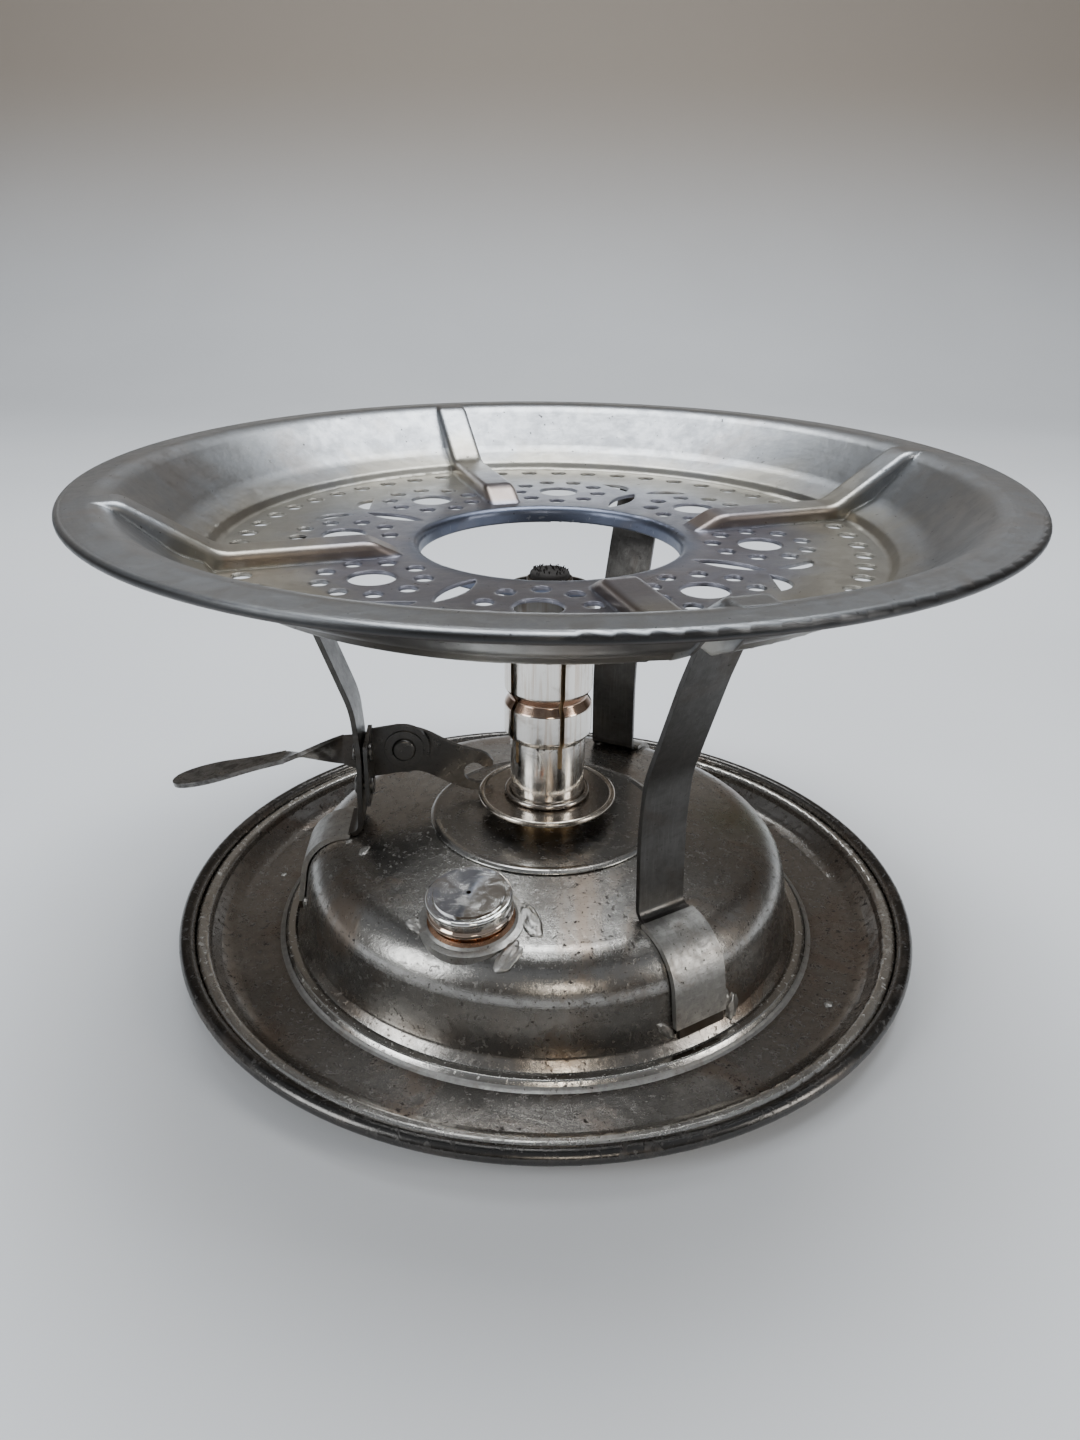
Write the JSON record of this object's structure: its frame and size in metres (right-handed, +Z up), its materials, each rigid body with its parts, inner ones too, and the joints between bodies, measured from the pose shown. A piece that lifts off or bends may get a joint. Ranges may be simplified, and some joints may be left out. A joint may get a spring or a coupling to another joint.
{
  "type": "spirit table stove",
  "caption": "Alcohol burner table stove: round drip tray with flat fuel tank, slotted burner sleeve lifted by a claw lever, three strap legs and a perforated dished pan plate.",
  "frame": {"origin": "centre of the drip tray's underside, on the burner axis", "axes": "+Z up along the burner axis; -Y is the front with the filler; the lever handle points towards -X"},
  "size_m": [0.1992, 0.1992, 0.1125],
  "materials": {
    "aged_tin": "aged tinned sheet, mottled",
    "steel_wire": "plain steel wire",
    "solder": "soft solder, dull",
    "brass_tube": "drawn brass, darkened",
    "cotton_wick": "braided cotton, charred",
    "bright_nickel": "polished nickel plate",
    "dull_nickel": "worn nickel plate",
    "copper_neck": "copper showing through worn plate",
    "cork_gasket": "fibre washer",
    "plate_steel": "satin steel with heat tint",
    "strap_steel": "dull grey strap",
    "dark_steel": "dark worn steel"
  },
  "bodies": {
    "stand": {"drip_tray": "aged_tin", "tray_rim_wire": "steel_wire", "tank_floor": "aged_tin", "tank_shell": "aged_tin", "tank_seam_solder": "solder", "burner_plate": "aged_tin", "wick_tube": "brass_tube", "wick": "cotton_wick", "filler_neck": "copper_neck", "filler_solder": "solder", "pot_plate": "plate_steel", "leg_left": "strap_steel", "leg_front": "strap_steel", "leg_back": "strap_steel", "leg_foot_solder": "solder", "leg_top_solder": "solder", "lever_bracket": "dark_steel", "lever_pivot": "dark_steel", "lever_washers": "dark_steel", "bracket_rivets": "dark_steel"},
    "lever": {"lever": "dark_steel"},
    "sleeve": {"burner_sleeve": "bright_nickel", "sleeve_flange": "dull_nickel", "sleeve_foot_ring": "dull_nickel"},
    "gasket": {"cap_gasket": "cork_gasket"},
    "cap": {"filler_cap": "bright_nickel"}
  },
  "joints": [
    {"name": "lever_tilt", "type": "hinge", "parent": "stand", "child": "lever", "pos_m": [-0.03537, 0.00616, 0.043], "axis": [0.0523, -0.9986, 0], "range_deg": [-3, 12]},
    {"name": "sleeve_lift", "type": "slide", "parent": "stand", "child": "sleeve", "axis": [0, 0, 1], "range_m": [-0.00105, 0.00425]},
    {"name": "gasket_rise", "type": "slide", "parent": "stand", "child": "gasket", "axis": [-0.049, -0.1311, 0.9902], "range_m": [0, 0.0025]},
    {"name": "cap_turn", "type": "hinge", "parent": "gasket", "child": "cap", "pos_m": [-0.01605, -0.04294, 0.03152], "axis": [-0.049, -0.1311, 0.9902], "range_deg": [0, 720]}
  ],
  "couplings": [
    {"joint": "lever_tilt", "follows": "sleeve_lift", "rad_per_m": 49.02},
    {"joint": "cap_turn", "follows": "gasket_rise", "rad_per_m": 5026.5}
  ]
}
